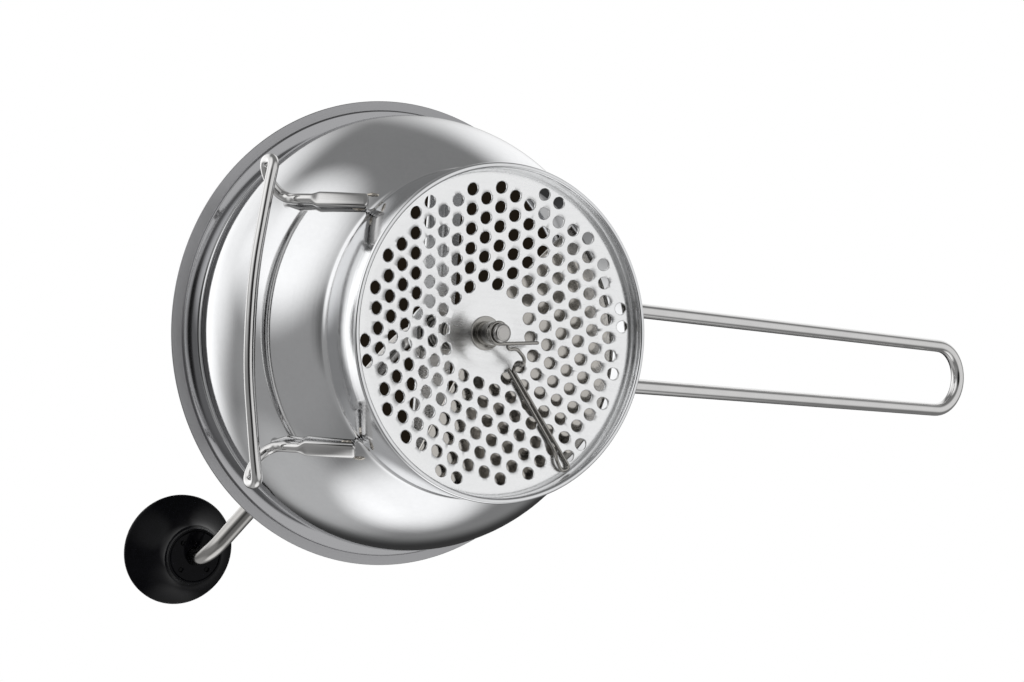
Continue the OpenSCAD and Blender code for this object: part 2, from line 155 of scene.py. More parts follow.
def eased(points, radius, steps=4):
    """A closed section with each corner rounded, by a radius or by the corner's own."""
    out = []
    n = len(points)
    for i, p in enumerate(points):
        r = p[2] if len(p) > 2 else radius
        here, before, after = (np.array(points[j % n][:2], float) for j in (i, i - 1, i + 1))
        u, w = before - here, after - here
        lu, lw = np.linalg.norm(u), np.linalg.norm(w)
        cut = min(r, 0.45 * lu, 0.45 * lw)
        if cut < 0.02:
            out.append(tuple(here))
            continue
        s, e = here + u / lu * cut, here + w / lw * cut
        for k in range(steps + 1):
            t = k / steps
            out.append(tuple((s * (1 - t) + here * t) * (1 - t) + (here * (1 - t) + e * t) * t))
    return out


def ring(name, r_out, r_in, z, h, material, body, stands_for, at=(0, 0), edge=0.22):
    """A washer or tube with eased edges."""
    profile = eased([(r_in, z), (r_out, z), (r_out, z + h), (r_in, z + h)], edge, 3)
    return lathe(name, profile, material, body, stands_for, 160, 50, at)


def rounded(points, steps=12):
    """A chain of points (x, y, z, radius) with quadratic corners, as in the CAD source."""
    out = []
    for i, (x, y, z, r) in enumerate(points):
        p = np.array((x, y, z), float)
        if r == 0:
            out.append(p)
            continue
        a, c = (np.array(points[j][:3], float) - p for j in (i - 1, i + 1))
        s, e = p + r * a / np.linalg.norm(a), p + r * c / np.linalg.norm(c)
        for k in range(steps + 1):
            t = k / steps
            out.append((s * (1 - t) + p * t) * (1 - t) + (p * (1 - t) + e * t) * t)
    return out


def run_of(route):
    """The length along a route up to each of its points."""
    return np.concatenate([[0], np.cumsum(np.linalg.norm(np.diff(route, axis=0), axis=1))])


def evened(route, step):
    """The same route with points a fixed distance apart, its corners kept smooth."""
    route = np.array(route, float)
    apart = np.linalg.norm(np.diff(route, axis=0), axis=1) > 1e-6
    route = route[np.concatenate([[True], apart])]
    s = run_of(route)
    n = max(2, int(s[-1] / step))
    t = np.linspace(0, s[-1], n + 1)
    out = np.stack([np.interp(t, s, route[:, k]) for k in range(3)], 1)
    for _ in range(2):
        out[1:-1] = 0.25 * out[:-2] + 0.5 * out[1:-1] + 0.25 * out[2:]
    return out


def tube(name, route, across, along, material, body, stands_for=(), ups=None, sides=24,
         square=None, cap=0.6, sharp=50):
    """A rod swept along a route. across and along are its half widths at each point, square its
    share of squareness (0 round, 1 flattened with soft corners), cap how round its ends are."""
    route = np.array(route, float)
    n = len(route)
    across = np.broadcast_to(np.array(across, float), (n,)).copy()
    along = np.broadcast_to(np.array(along, float), (n,)).copy()
    square = np.zeros(n) if square is None else np.array(square, float)
    tangent = np.gradient(route, axis=0)
    tangent /= np.linalg.norm(tangent, axis=1)[:, None]
    if ups is None:
        side = np.cross(tangent[0], (0.31, 0.17, 0.93))
        side /= np.linalg.norm(side)
        frames = []
        for t in tangent:
            side = side - t * (side @ t)
            side /= np.linalg.norm(side)
            frames.append((side.copy(), np.cross(side, t)))
    else:
        frames = []
        for t, up in zip(tangent, ups):
            s = np.cross(t, up)
            s /= np.linalg.norm(s)
            frames.append((s, np.cross(s, t)))
    stations = []  # (point, half widths, squareness, frame, length so far)
    length = run_of(route)
    for i in range(n):
        stations.append((route[i], across[i], along[i], square[i], frames[i], length[i]))
    turns = 6
    for end, sign in ((0, -1), (n - 1, 1)):
        p, a, b, q, f, s = stations[0] if end == 0 else stations[-1]
        more = []
        for k in range(1, turns):
            v = math.radians(90 * k / turns)
            depth = cap * min(a, b) * math.sin(v)
            shrink = 1 - cap * (1 - math.cos(v)) * min(a, b) / max(a, b)
            more.append((p + sign * tangent[end] * depth, a * shrink, b * shrink, q, f, s))
        stations = more[::-1] + stations if end == 0 else stations + more
    verts, length_at = [], []
    for p, a, b, q, (u, w), s in stations:
        for k in range(sides):
            v = 2 * math.pi * k / sides
            c, d = math.cos(v), math.sin(v)
            power = 1 - 0.45 * q
            x = math.copysign(abs(c) ** power, c)
            y = math.copysign(abs(d) ** power, d)
            verts.append(p + a * x * u + b * y * w)
        length_at.append(s)
    m = len(stations)
    faces, uvs = [], []
    girth = 2 * math.pi * float(np.mean(across))
    for i in range(m - 1):
        for k in range(sides):
            j = (k + 1) % sides
            faces.append([i * sides + k, i * sides + j, (i + 1) * sides + j, (i + 1) * sides + k])
            u0, u1 = girth * k / sides * MM, girth * (k + 1) / sides * MM
            v0, v1 = length_at[i] * MM, length_at[i + 1] * MM
            uvs += [(u0, v0), (u1, v0), (u1, v1), (u0, v1)]
    for row, order in ((0, range(sides - 1, -1, -1)), (m - 1, range(sides))):
        faces.append([row * sides + k for k in order])
        uvs += [(0, length_at[row] * MM)] * sides
    return make(name, verts, faces, material, body, stands_for, sharp, uvs)


def cut(obj, cutter, sharp=40):
    """Takes cutter away from obj and keeps the resulting mesh."""
    bpy.context.view_layer.update()
    mod = obj.modifiers.new("cut", "BOOLEAN")
    mod.operation = "DIFFERENCE"
    mod.solver = "MANIFOLD"
    mod.object = cutter
    bpy.context.view_layer.update()
    dg = bpy.context.evaluated_depsgraph_get()
    mesh = bpy.data.meshes.new_from_object(obj.evaluated_get(dg))
    obj.modifiers.clear()
    obj.data = mesh
    bpy.data.objects.remove(cutter)
    shade(obj, sharp)


def soften(obj, width, segments, above):
    """Bevels the edges that are sharper than an angle in degrees."""
    bevel = obj.modifiers.new("bevel", "BEVEL")
    bevel.width, bevel.segments, bevel.limit_method = width * MM, segments, "ANGLE"
    bevel.angle_limit = math.radians(above)


def keep_node(name, material, width, segments, above):
    """Keeps a CAD node as it is, with a material and softened edges."""
    node = nodes[name]
    node.data.materials.clear()
    node.data.materials.append(material)
    weld = node.modifiers.new("weld", "WELD")
    weld.merge_threshold = 0.02 * MM
    soften(node, width, segments, above)


def plain(name, verts, faces):
    """A helper mesh that is used up before the end."""
    mesh = bpy.data.meshes.new(name)
    mesh.from_pydata([[c * MM for c in v] for v in verts], [], faces)
    bm = bmesh.new()
    bm.from_mesh(mesh)
    bmesh.ops.recalc_face_normals(bm, faces=bm.faces)
    bm.to_mesh(mesh)
    bm.free()
    obj = bpy.data.objects.new(name, mesh)
    scene.collection.objects.link(obj)
    return obj


# ---- materials -----------------------------------------------------------------

class Paint:
    """A Principled material with short calls for its nodes."""

    def __init__(self, name, base, metallic, rough, **sockets):
        self.mat = bpy.data.materials.new(name)
        self.mat.use_nodes = True
        self.tree = self.mat.node_tree
        self.shader = self.tree.nodes["Principled BSDF"]
        self.base = base
        self.set("Base Color", (*base, 1))
        self.set("Metallic", metallic)
        self.set("Roughness", rough)
        for key, value in sockets.items():
            self.set(key.replace("_", " "), value)
        self.normal = None
        self.place = self.add("ShaderNodeTexCoord").outputs["Object"]

    def set(self, socket, value):
        target = self.shader.inputs[socket]
        if isinstance(value, bpy.types.NodeSocket):
            self.tree.links.new(value, target)
        else:
            target.default_value = value

    def add(self, kind, inputs=(), **settings):
        n = self.tree.nodes.new(kind)
        for key, value in settings.items():
            setattr(n, key, value)
        for key, value in dict(inputs).items():
            if isinstance(value, bpy.types.NodeSocket):
                self.tree.links.new(value, n.inputs[key])
            else:
                n.inputs[key].default_value = value
        return n

    def math(self, operation, a, b=0.0, c=0.0):
        return self.add("ShaderNodeMath", {0: a, 1: b, 2: c}, operation=operation).outputs[0]

    def uv(self):
        return self.add("ShaderNodeTexCoord").outputs["UV"]

    def scaled(self, vector, factors):
        return self.add("ShaderNodeVectorMath", {0: vector, 1: factors},
                        operation="MULTIPLY").outputs[0]

    def rings(self):
        """The same coordinates all round the axis, for turned and spun surfaces, with the
        radius and the height."""
        xyz = self.add("ShaderNodeSeparateXYZ", {0: self.place})
        flat = self.add("ShaderNodeCombineXYZ", {0: xyz.outputs[0], 1: xyz.outputs[1]}).outputs[0]
        r = self.add("ShaderNodeVectorMath", {0: flat}, operation="LENGTH").outputs["Value"]
        z = xyz.outputs[2]
        return self.add("ShaderNodeCombineXYZ", {0: r, 2: z}).outputs[0], r, z

    def noise(self, vector, scale, detail=3.0, rough=0.55, warp=0.0):
        n = self.add("ShaderNodeTexNoise", {"Vector": vector, "Scale": scale, "Detail": detail,
                                            "Roughness": rough, "Distortion": warp})
        return n.outputs["Fac"]

    def span(self, value, low, high, start=0.3, end=0.7):
        return self.add("ShaderNodeMapRange", {"Value": value, "From Min": start, "From Max": end,
                                               "To Min": low, "To Max": high}).outputs[0]

    def tint(self, value, dark, light=1.0, start=0.3, end=0.7, other=None):
        """Mixes the base colour, darkened, with itself or with another colour."""
        low = other if other is not None else tuple(c * dark for c in self.base)
        mix = self.add("ShaderNodeMix", {"Factor": self.span(value, 0, 1, start, end)},
                       data_type="RGBA")
        mix.inputs[6].default_value = (*low, 1)
        mix.inputs[7].default_value = (*[min(1, c * light) for c in self.base], 1)
        self.set("Base Color", mix.outputs[2])
        return mix.outputs[2]

    def bump(self, height, distance, strength=1.0):
        settings = {"Height": height, "Distance": distance, "Strength": strength}
        if self.normal is not None:
            settings["Normal"] = self.normal
        self.normal = self.add("ShaderNodeBump", settings).outputs[0]
        self.set("Normal", self.normal)


def spun_steel(name, base, rough, spread, line, wave, fine=900.0):
    """Sheet steel polished on a lathe: faint rings, a slow waviness and a few rubbed spots."""
    p = Paint(name, base, 1.0, rough, Anisotropic=0.0)
    rings = p.rings()[0]
    lines = p.noise(rings, fine, 2.0, 0.7)
    patches = p.noise(p.place, 38.0, 4.0, 0.6)
    slow = p.noise(p.place, 14.0, 2.0, 0.5)
    marks = p.noise(p.scaled(p.place, (1.0, 1.0, 3.0)), 260.0, 3.0, 0.65)
    both = p.math("MULTIPLY_ADD", lines, 0.6, p.math("MULTIPLY", patches, 0.4))
    p.set("Roughness", p.span(both, max(0.02, rough - spread), rough + spread))
    p.tint(p.math("MULTIPLY_ADD", patches, 0.6, p.math("MULTIPLY", marks, 0.4)), 0.93)
    p.bump(slow, wave)
    p.bump(lines, line)
    return p


def drawn_steel(name, base, rough, spread, line, along=55.0, around=2600.0):
    """Wire or rod: fine lines along its length, with slow changes of gloss."""
    p = Paint(name, base, 1.0, rough)
    uv = p.scaled(p.uv(), (around, along, 1.0))
    streaks = p.noise(uv, 1.0, 3.0, 0.6)
    patches = p.noise(p.place, 90.0, 3.0, 0.6)
    both = p.math("MULTIPLY_ADD", streaks, 0.6, p.math("MULTIPLY", patches, 0.4))
    p.set("Roughness", p.span(both, max(0.03, rough - spread), rough + spread))
    p.tint(p.math("MULTIPLY_ADD", streaks, 0.5, p.math("MULTIPLY", patches, 0.5)), 0.88)
    p.bump(streaks, line)
    return p


def bowl_paint():
    """The bowl: mirror polish on the wall, painted shade darkening the flange, brushed rings on
    its outer part.
    """
    p = Paint("steel_bowl", (0.74, 0.745, 0.755), 1.0, 0.1)
    rings, r, z = p.rings()
    outer = p.span(r, 0, 1, 0.1143, 0.1148)
    on_flange = p.math("MULTIPLY", outer, p.span(z, 0, 1, 0.100, 0.104))
    lines = p.noise(rings, 700.0, 3.0, 0.7)
    fine_lines = p.noise(rings, 2400.0, 2.0, 0.7)
    patches = p.noise(p.place, 30.0, 4.0, 0.6)
    slow = p.noise(p.place, 11.0, 2.0, 0.45)
    spots = p.noise(p.place, 420.0, 2.0, 0.6)
    both = p.math("MULTIPLY_ADD", lines, 0.5, p.math("MULTIPLY", patches, 0.5))
    soft = p.span(both, 0.055, 0.105)
    brushed = p.span(fine_lines, 0.30, 0.44)
    mix = p.add("ShaderNodeMix", {"Factor": on_flange}, data_type="FLOAT")
    p.tree.links.new(soft, mix.inputs[2])
    p.tree.links.new(brushed, mix.inputs[3])
    p.set("Roughness", mix.outputs[0])
    polished = p.tint(p.math("MULTIPLY_ADD", patches, 0.7, p.math("MULTIPLY", spots, 0.3)), 0.92)
    # Painted shade: the flange's base colour is darkened to stand for the darker surroundings it
    # reflects
    painted_flange_shade = p.math("MULTIPLY", p.span(r, 0, 1, 0.1078, 0.1085),
                       p.span(z, 0, 1, 0.1035, 0.105))
    flange_shade_mix = p.add("ShaderNodeMix", {"Factor": painted_flange_shade}, data_type="RGBA")
    p.tree.links.new(polished, flange_shade_mix.inputs[6])
    flange_shade_mix.inputs[7].default_value = (0.38, 0.38, 0.39, 1)
    p.set("Base Color", flange_shade_mix.outputs[2])
    p.bump(slow, 0.0011)
    p.bump(lines, 0.000012)
    p.bump(p.math("MULTIPLY", fine_lines, on_flange), 0.00003)
    return p.mat


def disc_paint():
    """Satin sheet with rolled grain and soft press marks."""
    p = Paint("steel_disc", (0.92, 0.925, 0.93), 1.0, 0.25)
    grain = p.noise(p.scaled(p.place, (90.0, 700.0, 90.0)), 1.0, 3.0, 0.6)
    cloudy = p.noise(p.place, 55.0, 4.0, 0.6, 0.4)
    fine = p.noise(p.place, 900.0, 2.0, 0.6)
    both = p.math("MULTIPLY_ADD", grain, 0.5, p.math("MULTIPLY", cloudy, 0.5))
    p.set("Roughness", p.span(both, 0.2, 0.3))
    p.tint(p.math("MULTIPLY_ADD", cloudy, 0.6, p.math("MULTIPLY", fine, 0.4)), 0.94)
    p.bump(cloudy, 0.00012)
    p.bump(grain, 0.000004)
    return p.mat


def plastic_paint():
    """Glossy black moulding with a faint unevenness and a few rubbed areas."""
    p = Paint("plastic_black", (0.002, 0.002, 0.003), 0.0, 0.07,
              Specular_IOR_Level=0.1, IOR=1.4)
    cloudy = p.noise(p.place, 60.0, 3.0, 0.6)
    skin = p.noise(p.place, 520.0, 2.0, 0.5)
    p.set("Roughness", p.span(cloudy, 0.04, 0.08))
    p.tint(skin, 0.7, 1.4)
    p.bump(cloudy, 0.00012)
    p.bump(skin, 0.000006)
    return p.mat


def bearing_paint():
    """Sintered bearing metal: fine pores and dull patches."""
    p = Paint("bronze_bearing", (0.60, 0.45, 0.26), 1.0, 0.34)
    pores = p.noise(p.place, 2600.0, 2.0, 0.6)
    patches = p.noise(p.place, 240.0, 4.0, 0.6)
    p.set("Roughness", p.span(patches, 0.26, 0.44))
    p.tint(p.math("MULTIPLY_ADD", patches, 0.6, p.math("MULTIPLY", pores, 0.4)), 0.72)
    p.bump(pores, 0.00003)
    return p.mat


def weld_paint():
    """A weld's bead: rippled, slightly straw coloured by heat."""
    p = Paint("steel_weld", (0.66, 0.63, 0.58), 1.0, 0.26)
    ripples = p.noise(p.place, 900.0, 2.0, 0.5, 0.6)
    heat = p.noise(p.place, 160.0, 3.0, 0.6)
    p.set("Roughness", p.span(ripples, 0.2, 0.38))
    p.tint(heat, 1.0, 1.0, other=(0.50, 0.44, 0.36))
    p.bump(ripples, 0.00012)
    return p.mat


BOWL = bowl_paint()
DISC = disc_paint()
WIRE = drawn_steel("steel_wire", (0.66, 0.655, 0.65), 0.085, 0.035, 0.000006).mat
ROD = drawn_steel("steel_rod", (0.48, 0.47, 0.455), 0.16, 0.06, 0.00001).mat
THIN = drawn_steel("steel_thin_wire", (0.36, 0.35, 0.33), 0.14, 0.05, 0.000004, 80.0, 3200.0).mat
TURNED = spun_steel("steel_turned", (0.40, 0.39, 0.37), 0.18, 0.07, 0.00003, 0.0001, 2200.0).mat
SHEET_STEEL = spun_steel("steel_sheet", (0.66, 0.665, 0.67), 0.26, 0.08, 0.00001, 0.0005,
                         500.0).mat
BLADE = spun_steel("steel_blade", (0.50, 0.48, 0.45), 0.14, 0.06, 0.00001, 0.0008, 600.0).mat
PLASTIC = plastic_paint()
BRONZE = bearing_paint()
WELD = weld_paint()


# ---- bowl ----------------------------------------------------------------------

shoulder_c = (BULGE_R - SHOULDER, FLANK_C[1])
fillet_c = (NECK_R + FILLET, FLANK_C[1] - math.sqrt((FLANK_ARC + FILLET) ** 2
                                                   - (NECK_R + FILLET - FLANK_C[0]) ** 2))
crease = math.degrees(math.atan2(fillet_c[1] - FLANK_C[1], fillet_c[0] - FLANK_C[0]))
corner_r = shoulder_c[0] + SHOULDER * math.cos(math.radians(SHOULDER_A))


def wall(d):
    """The wall's section, set inwards by d: fillet, flank and shoulder."""
    return (arc(fillet_c, FILLET + d, 180, 180 + crease, 20)
            + arc(FLANK_C, FLANK_ARC - d, crease, 0, 80, 1)
            + arc(shoulder_c, SHOULDER - d, 0, SHOULDER_A, 16, 1))


def flange(d):
    """The flange's section with soft bends."""
    chain = [(*wall(d)[-1], 0, 0),
             (corner_r + 0.5 - d, RIM_Z - STEP_H - 1.2, 0, 0.5),
             (corner_r + 1.7 - d, RIM_Z - STEP_H + d, 0, 0.7),
             (STEP_R - d, RIM_Z - STEP_H + d, 0, 0.35),
             (STEP_R + 0.6 - d, RIM_Z + d, 0, 0.35),
             (RIM_R - 0.5, RIM_Z + d, 0, 0)]
    return [(p[0], p[1]) for p in rounded(chain, 5)[1:]]


def mill_bowl():
    """One sheet: rolled lip, neck, flank, shoulder and stepped flange."""
    lip_c = (NECK_R - LIP_ROLL, LIP_ROLL * math.cos(math.radians(LIP_LAND)))
    start = math.degrees(math.acos(1 - SHEET / LIP_ROLL))
    lip = (arc(lip_c, LIP_ROLL, start, 270 - LIP_LAND, 26)
           + arc(lip_c, LIP_ROLL, 270 + LIP_LAND, 360, 12))
    edge = arc((RIM_R - 0.45, RIM_Z + SHEET / 2), SHEET / 2, -80, 80, 8)
    profile = lip + wall(0) + flange(0) + edge + flange(SHEET)[::-1] + wall(SHEET)[::-1]
    return lathe("mill_bowl", profile, BOWL, "bowl", ["bowl"], 400, 38)


mill_bowl()


# ---- handle and front support --------------------------------------------------

def mill_handle():
    """One loop of wire whose ends turn apart and hug the neck."""
    r, y, reach, z, knee = 3.7, 19.1, 341.5, 26.2, 12.0
    tip_x, hug = reach - r - y, NECK_R + r - WELD_SINK
    knee_c = (math.sqrt((hug + knee) ** 2 - (y + knee) ** 2), y + knee)
    hug_a = math.degrees(math.atan2(knee_c[1], knee_c[0]))
    side = arc((0, 0), hug, hug_a + 24, hug_a, 24) + arc(knee_c, knee, 180 + hug_a, 270, 24, 1)
    tip = arc((tip_x, 0), y, 90, -90, 60)
    flat = side + tip + [(a, -b) for a, b in side[::-1]]
    route = evened([(a, b, z) for a, b in flat], 1.5)
    tube("handle_wire", route, r, r, WIRE, "bowl", ["handle_loop"], sides=40,
         ups=[(0, 0, 1)] * len(route))


def on_flank(y, z, off):
    """A point a little off the flank, on the side away from the handle."""
    around = FLANK_C[0] + math.sqrt((FLANK_ARC + off) ** 2 - (z - FLANK_C[1]) ** 2)
    return (-math.sqrt(around * around - y * y), y, z)


# The support's flattened legs: place, half widths, ends and how far they come off the wall
LEG_Y, LEG_THIN, LEG_WIDE, LEG_LOW, LEG_HIGH = 55.5, 1.7, 3.7, 31.5, 50.1
LEG_LIFT, SUPPORT_TURN = 1.3, -1.5
BAR_Z = 50


def turned(points, degrees):
    """Points turned round the upright axis."""
    c, s = math.cos(math.radians(degrees)), math.sin(math.radians(degrees))
    return np.array([(p[0] * c - p[1] * s, p[0] * s + p[1] * c, p[2]) for p in points])


def mill_support():
    """One bent wire with two flattened legs and a bar between its turns."""
    r, lift, steps = 2.5, LEG_THIN - WELD_SINK, 12
    foot = [on_flank(LEG_Y, LEG_LOW + (LEG_HIGH - LEG_LOW) * i / steps,
                     lift + LEG_LIFT * i / steps) for i in range(steps + 1)]
    bend = rounded([(*on_flank(LEG_Y, LEG_HIGH + 2, lift + LEG_LIFT), 0),
                    (-86, 56, 58.5, 4), (-93, 61, 61.5, 6), (-97, 72.4, 61, 5),
                    (-96, 72.4, BAR_Z, 5), (-98, 61, BAR_Z, 6),
                    (-103.2, 22, BAR_Z, 14), (-103.5, 0, BAR_Z, 0)], 10)
    half = [np.array(p, float) for p in foot + bend]
    whole = half + [p * (1, -1, 1) for p in half[-2::-1]]
    route = evened(whole, 0.8)
    s = run_of(route)
    from_end = np.minimum(s, s[-1] - s)
    t = np.clip((24.5 - from_end) / 4.0, 0, 1)
    flat = t * t * (3 - 2 * t)
    ups = [(p[0], p[1], -0.9 * math.hypot(p[0], p[1])) for p in route]
    route, ups = turned(route, SUPPORT_TURN), turned(ups, SUPPORT_TURN)
    tube("support_wire", route, r + (LEG_WIDE - r) * flat, r + (LEG_THIN - r) * flat, WIRE, "bowl",
         ["front_support"], ups=ups, sides=40, square=flat, cap=0.9, sharp=60)


def weld_bead(name, centre, along, normal, size, seed):
    """A small uneven bead of weld."""
    rng = np.random.default_rng(seed)
    u = np.array(along, float) / np.linalg.norm(along)
    w = np.array(normal, float) / np.linalg.norm(normal)
    v = np.cross(w, u)
    bm = bmesh.new()
    bmesh.ops.create_icosphere(bm, subdivisions=4, radius=1)
    phase = rng.uniform(0, 6.28, 3)
    verts = []
    for p in bm.verts:
        a = p.co
        k = 1 + 0.08 * math.sin(6 * a.x + phase[0]) + 0.05 * math.sin(9 * a.y + phase[1])
        offset = a.x * size[0] * u + a.y * size[1] * v + a.z * size[2] * w
        verts.append(np.array(centre) + k * offset)
    faces = [[q.index for q in f.verts] for f in bm.faces]
    bm.free()
    make(name, verts, faces, WELD, "bowl", sharp=80)


def mill_welds():
    """Beads at both edges of each leg's foot and under each end of the handle's wire."""
    z = LEG_LOW + 1.2
    for i, side in enumerate((1, -1)):
        for k, off in enumerate((-1, 1)):
            y = side * LEG_Y + off * (LEG_WIDE - 0.2)
            p, q = np.array(on_flank(y, z, 0.05)), np.array(on_flank(y, z + 2, 0.05))
            around = math.hypot(p[0], p[1])
            slant = (around - FLANK_C[0]) / around
            out = (p[0] * slant, p[1] * slant, z - FLANK_C[1])
            p, q, out = turned([p, q, out], SUPPORT_TURN)
            weld_bead(f"support_weld_{i}0{k}", p, q - p, out, (2.6, 0.9, 0.7), 11 * i + k)
    hug, bead_z = NECK_R + 0.3, 23.4
    for i, side in enumerate((1, -1)):
        for j, degrees in enumerate((27.0, 41.0)):
            a = math.radians(side * degrees)
            c, d = math.cos(a), math.sin(a)
            weld_bead(f"handle_weld_{i}{j}0", (hug * c, hug * d, bead_z), (-d, c, 0), (c, d, -0.6),
                      (3.2, 1.0, 0.8), 40 + 7 * i + j)


mill_handle()
mill_support()
mill_welds()


# ---- disc ----------------------------------------------------------------------

def disc_under(r):
    """Height of the disc's lower face at a radius."""
    return DISC_Z + (CONE_OUT - min(max(r, CONE_IN), CONE_OUT)) * DISC_SLOPE


PITCH, HOLE_R, HOLE_TURN, HOLE_IN, HOLE_OUT = 8.76, 2.85, -11.0, 20.0, 69.3


def hole_places():
    """Centres of the holes: a hexagonal pattern between two radii."""
    c, s = math.cos(math.radians(HOLE_TURN)), math.sin(math.radians(HOLE_TURN))
    found = []
    for i in range(-10, 11):
        for k in range(-10, 11):
            x = PITCH * i * math.sqrt(3) / 2
            y = PITCH * (k + (0 if i % 2 == 0 else 0.5))
            if HOLE_IN < math.hypot(x, y) < HOLE_OUT:
                found.append((x * c - y * s, x * s + y * c))
    return found


def mill_disc():
    """The cone with its skirt and its holes, whose lower edges are drawn in."""
    disc_r, eyelet = NECK_R - SHEET - 0.7, 6.5
    bend_in = [(p[0], p[2]) for p in rounded(
        [(9.5, 0, HUB_Z, 0), (CONE_IN, 0, HUB_Z, 3.0), (20, 0, disc_under(20), 0)], 8)]
    slope = [(r, disc_under(r)) for r in np.linspace(24, 66, 14)]
    bend_out = [(p[0], p[2]) for p in rounded(
        [(68, 0, disc_under(68), 0), (CONE_OUT, 0, DISC_Z, 1.6), (73.2, 0, DISC_Z, 0)], 6)]
    corner = [(disc_r - DISC_T, DISC_Z, 0.3), (disc_r - DISC_T, LIP_TOP + 0.05, 0.2),
              (disc_r, LIP_TOP + 0.05, 0.2), (disc_r, DISC_Z + DISC_T, 0.5)]
    lower = [(eyelet, HUB_Z)] + bend_in + slope + bend_out
    upper = [(r, z + DISC_T) for r, z in lower][::-1]
    profile = lower + eased(corner, 0.3, 3) + upper
    disc = lathe("mill_disc", profile, DISC, "bowl", ["perforated_disc"], 300, 35)
    verts, faces = [], []
    sides, tilt = 36, math.atan(DISC_SLOPE)
    section = [(0.02, -1.5), (HOLE_R + 0.75, -1.0), (HOLE_R + 0.34, -0.02),
               (HOLE_R + 0.12, 0.10), (HOLE_R, 0.26), (HOLE_R, 2.2), (0.02, 2.2)]
    for x, y in hole_places():
        r = math.hypot(x, y)
        up = np.array((x / r * math.sin(tilt), y / r * math.sin(tilt), math.cos(tilt)))
        side = np.cross(up, (1, 0, 0))
        side /= np.linalg.norm(side)
        other = np.cross(up, side)
        centre, base = np.array((x, y, disc_under(r))), len(verts)
        for rr, h in section:
            for k in range(sides):
                a = 2 * math.pi * k / sides
                verts.append(centre + up * h + rr * (math.cos(a) * side + math.sin(a) * other))
        for i in range(len(section) - 1):
            for k in range(sides):
                j = (k + 1) % sides
                faces.append([base + i * sides + k, base + i * sides + j,
                              base + (i + 1) * sides + j, base + (i + 1) * sides + k])
        faces.append([base + k for k in range(sides)][::-1])
        faces.append([base + (len(section) - 1) * sides + k for k in range(sides)])
    cut(disc, plain("hole_cutters", verts, faces), 35)


def mill_eyelet():
    """The bearing in the disc: a tube with a flange under and over the sheet."""
    bore, neck, out, lip, top = ROD_R + RUN_GAP, 6.5, 8.0, 0.8, HUB_Z + DISC_T
    profile = eased([(bore, HUB_Z - lip, 0.3), (out, HUB_Z - lip, 0.4), (out, HUB_Z, 0.1),
                     (neck, HUB_Z, 0.05), (neck, top, 0.05), (out, top, 0.1),
                     (out, top + lip, 0.4), (bore, top + lip, 0.3)], 0.3, 4)
    lathe("eyelet_flange", profile, TURNED, "bowl", ["disc_eyelet"], 160, 50)


mill_disc()
mill_eyelet()


# ---- bridge --------------------------------------------------------------------

def mill_bridge():
    """The crossbar: a pressed strip with soft edges, a round boss and a raised bead each side."""
    half, tab, tab_y, end, boss = 9.0, 6.2, 93.0, 101.5, 15.0
    reach = math.degrees(math.acos(half / boss))
    quarter = [(boss * math.cos(math.radians(a)), boss * math.sin(math.radians(a)))
               for a in np.linspace(0, reach, 16)]
    quarter += [(p[0], p[1]) for p in rounded(
        [(half, 20, 0, 0), (half, tab_y, 0, 1.5), (tab, tab_y, 0, 0.6), (tab, end, 0, 1.6),
         (0.0, end, 0, 0)], 5)]
    outline = quarter + [(-x, y) for x, y in quarter[-2::-1]]
    outline += [(x, -y) for x, y in outline[-2:0:-1]]
    n = len(outline)
    layers = [(0.35, 0.0), (0.1, 0.1), (0.0, 0.35), (0.0, BRIDGE_T - 0.35), (0.1, BRIDGE_T - 0.1),
              (0.35, BRIDGE_T)]
    pts = np.array(outline)
    ahead, behind = np.roll(pts, -1, 0), np.roll(pts, 1, 0)
    t = ahead - behind
    t /= np.linalg.norm(t, axis=1)[:, None]
    normal = np.stack([t[:, 1], -t[:, 0]], 1)
    m = 96
    turns = [2 * math.pi * k / m for k in range(m)]
    hole = [(BUSH_R * math.cos(a), BUSH_R * math.sin(a)) for a in turns]
    verts, faces = [], []
    for inset, h in layers:
        verts += [(*(p - m * inset), BRIDGE_Z + h) for p, m in zip(pts, normal)]
    for i in range(len(layers) - 1):
        for k in range(n):
            j = (k + 1) % n
            faces.append([i * n + k, i * n + j, (i + 1) * n + j, (i + 1) * n + k])
    faces.append(list(range(n))[::-1])
    faces.append([(len(layers) - 1) * n + k for k in range(n)])
    bar = make("bridge_strip", verts, faces, SHEET_STEEL, "bowl", ["bridge_bar"], 40)
    tool = [(x, y, z) for z in (BRIDGE_Z - 2, BRIDGE_Z + BRIDGE_T + 2) for x, y in hole]
    sides = [[k, (k + 1) % m, m + (k + 1) % m, m + k] for k in range(m)]
    ends = [list(range(m))[::-1], [m + k for k in range(m)]]
    cut(bar, plain("bush_cutter", tool, sides + ends))
    for name, side in (("bridge_bead_left", -1), ("bridge_bead_right", 1)):
        route = [(0, side * y, BRIDGE_Z + BRIDGE_T - 0.9) for y in np.linspace(21, 82, 60)]
        taper = [min(1.0, 0.25 + (30.5 - abs(p[1] * side - 51.5)) / 7) for p in route]
        tube(name, route, [3.0 * t for t in taper], [1.7 * t for t in taper], SHEET_STEEL, "bowl",
             ups=[(0, 0, 1)] * 60, sides=28, cap=0.9, sharp=80)


def mill_bush():
    """The plain bearing in the bar, with the ring that clinches it from below."""
    low, bar_top, bore = BRIDGE_Z - BUSH_DROP, BRIDGE_Z + BRIDGE_T, ROD_R + RUN_GAP
    top, clinch = bar_top + BUSH_RISE, 2.4
    profile = eased([(bore, low, 0.3), (BUSH_R, low, 0.3), (BUSH_R, bar_top, 0.05),
                     (BUSH_FLANGE_R, bar_top, 0.2), (BUSH_FLANGE_R, top, 0.5), (bore, top, 0.4)],
                    0.3, 4)
    lathe("bush_body", profile, BRONZE, "bowl", ["bridge_bush"], 160, 50)
    ring("bush_clinch", BUSH_FLANGE_R, BUSH_R, BRIDGE_Z - clinch, clinch, TURNED, "bowl",
         ["bush_ring"], edge=0.5)


